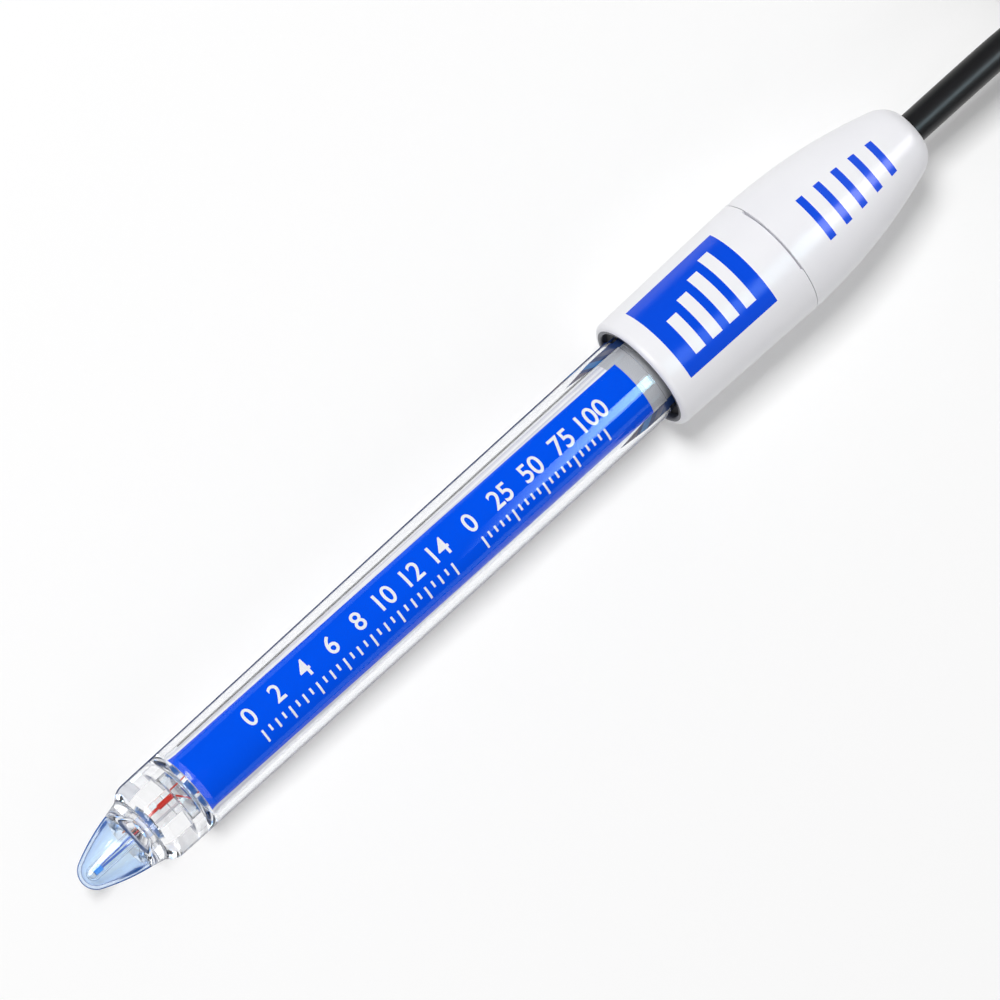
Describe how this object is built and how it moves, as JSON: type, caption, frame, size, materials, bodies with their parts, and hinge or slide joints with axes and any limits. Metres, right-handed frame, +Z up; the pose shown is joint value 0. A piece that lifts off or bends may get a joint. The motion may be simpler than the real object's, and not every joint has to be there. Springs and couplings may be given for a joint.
{
  "type": "ph electrode",
  "caption": "Combination pH electrode with a clear shaft, a blown glass cone, a white ogive head and a fixed cable that ends in a bayonet plug.",
  "frame": {"origin": "bottom centre of the electrode's own box, on the bench that it lies on", "axes": "+X from the glass tip towards the cable, +Z up from the bench"},
  "size_m": [0.28, 0.0388, 0.0173],
  "materials": {
    "sensing_glass": "smooth, blue tint",
    "clear_glass": "smooth, clear",
    "clear_shaft": "smooth, clear",
    "grey_ceramic": "matt",
    "blue_chip": "glossy",
    "blue_enamel": "enamelled",
    "copper_wire": "drawn",
    "amber_cement": "cured resin",
    "blue_seal": "smooth",
    "red_lead": "smooth",
    "red_sleeve": "smooth",
    "pale_lead": "smooth",
    "pale_carrier": "satin",
    "blue_label": "printed film",
    "dark_wire": "coated",
    "grey_bush": "satin",
    "white_head": "satin",
    "black_rubber": "smooth",
    "inner_collar": "smooth",
    "white_ceramic": "porous",
    "tinned_wire": "tinned",
    "black_cable": "smooth jacket",
    "cable_tie": "soft band",
    "plug_rubber": "matt",
    "plug_metal": "nickel plated",
    "nut_metal": "nickel plated",
    "pin_gold": "gold plated",
    "plug_white": "smooth",
    "plug_gasket_rubber": "smooth"
  },
  "bodies": {
    "electrode": {"cable": "black_cable", "cable_clamp": "tinned_wire", "cable_hank": "black_cable", "cable_tail": "black_cable", "contact_sleeve": "plug_metal", "electrode_wire": "copper_wire", "hank_ties": "cable_tie", "head_cap": "white_head", "head_seal": "black_rubber", "head_sleeve": "white_head", "inner_plug": "black_rubber", "inner_tube": "clear_glass", "junction_pin": "white_ceramic", "label": "blue_label", "label_carrier": "pale_carrier", "lead_sleeve": "red_sleeve", "membrane_glass": "sensing_glass", "plug_body": "plug_metal", "plug_boot": "plug_rubber", "plug_ferrule": "plug_metal", "plug_gasket": "plug_gasket_rubber", "plug_insulator": "plug_white", "plug_pin": "pin_gold", "reference_wire": "dark_wire", "retaining_collar": "inner_collar", "return_lead": "pale_lead", "seal_ring": "blue_seal", "sensor_bead": "grey_ceramic", "sensor_capillary": "clear_glass", "sensor_chip": "blue_chip", "sensor_wires": "blue_enamel", "shaft_tube": "clear_shaft", "shield_lead": "tinned_wire", "signal_lead": "red_lead", "stem_cement": "amber_cement", "stem_glass": "clear_glass", "top_bush": "grey_bush", "top_plug": "black_rubber"},
    "washer": {"spring_washer": "plug_metal"},
    "nut": {"coupling_nut": "nut_metal"}
  },
  "joints": [
    {"name": "nut_push", "type": "slide", "parent": "electrode", "child": "washer", "axis": [-1, 0, 0], "range_m": [0, 0.001], "stiffness_N_per_m": 1000},
    {"name": "nut_turn", "type": "hinge", "parent": "washer", "child": "nut", "pos_m": [0.13044, 0.0105, 0.00735], "axis": [-1, 0, 0], "continuous": true}
  ]
}
